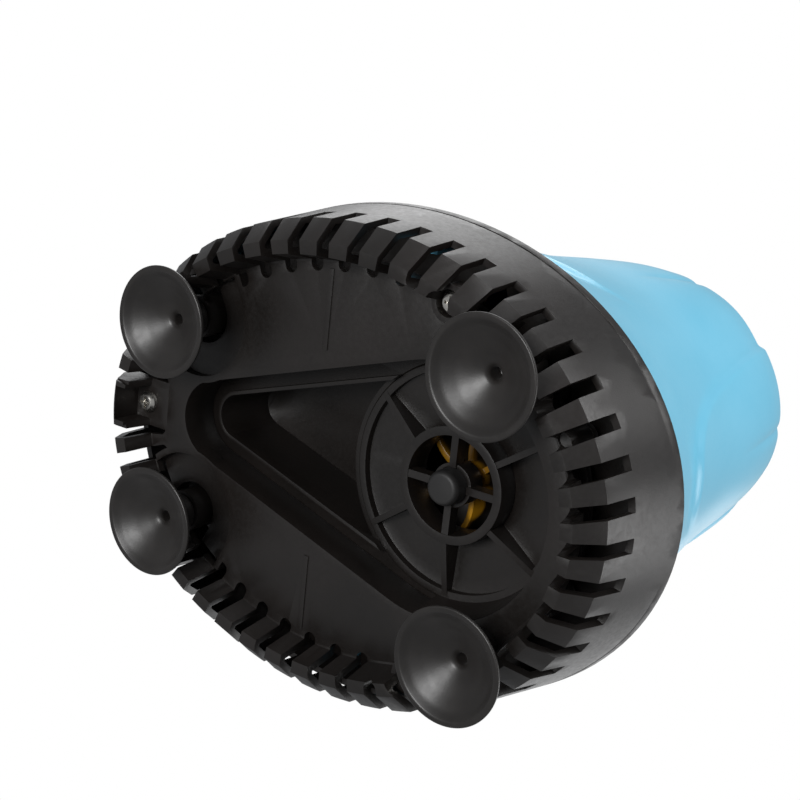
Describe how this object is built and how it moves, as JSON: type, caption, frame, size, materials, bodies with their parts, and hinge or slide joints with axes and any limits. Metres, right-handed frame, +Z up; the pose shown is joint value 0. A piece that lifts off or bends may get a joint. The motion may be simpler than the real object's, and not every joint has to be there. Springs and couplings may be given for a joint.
{
  "type": "submersible bottom-suction pump",
  "caption": "Submersible pool and tank pump with a slotted black strainer base on suction cups, a ribbed suction eye with impeller, and a tapered blue cover with a hose tail.",
  "frame": {"origin": "on the resting plane, below the centre of the base's outline", "axes": "+Z up along the rotor, +X towards the narrow front end of the base, away from the rotor"},
  "size_m": [0.164, 0.1302, 0.186],
  "materials": {
    "black_abs": "moulded, fine satin",
    "blue_abs": "moulded, semi-gloss",
    "amber_plastic": "moulded, semi-gloss",
    "cup_rubber": "moulded, satin",
    "nbr_rubber": "moulded, matt",
    "black_nylon": "moulded, matt",
    "bobbin_nylon": "moulded, matt",
    "ferrite": "sintered and ground",
    "alumina": "ground and polished",
    "lamination_steel": "punched stack",
    "copper": "enamelled wire",
    "epoxy": "poured",
    "stainless": "turned and polished"
  },
  "bodies": {
    "pump": {"floor_plate": "black_abs", "strainer_comb": "black_abs", "intake_cover": "black_abs", "strainer_deck": "black_abs", "bearing_bracket": "black_abs", "volute_casing": "black_abs", "volute_gasket": "nbr_rubber", "front_bush_seat": "nbr_rubber", "front_bush": "alumina", "rear_bush_seat": "nbr_rubber", "rear_bush": "alumina", "stator_core": "lamination_steel", "coil_left": "copper", "coil_right": "copper", "bobbin_left": "bobbin_nylon", "bobbin_right": "bobbin_nylon", "rotor_can": "black_abs", "motor_housing": "black_abs", "potting_resin": "epoxy", "motor_lid": "black_abs", "outlet_pipe": "black_abs", "outlet_seal": "nbr_rubber", "hose_tail": "black_abs", "body_cover": "blue_abs", "cable_gland": "black_nylon", "gland_nut": "black_nylon", "gland_seal": "nbr_rubber", "gland_locknut": "black_nylon", "suction_cup_front_left": "cup_rubber", "suction_cup_front_right": "cup_rubber", "suction_cup_rear_left": "cup_rubber", "suction_cup_rear_right": "cup_rubber", "base_screws": "stainless", "cover_screws": "stainless", "volute_screws": "stainless", "motor_screws": "stainless"},
    "rotor": {"impeller": "amber_plastic", "rotor_magnet": "ferrite", "shaft": "alumina", "thrust_washer": "alumina"}
  },
  "joints": [
    {"name": "rotor_spin", "type": "hinge", "parent": "pump", "child": "rotor", "pos_m": [-0.026, 0, 0.066], "axis": [0, 0, 1], "continuous": true}
  ]
}
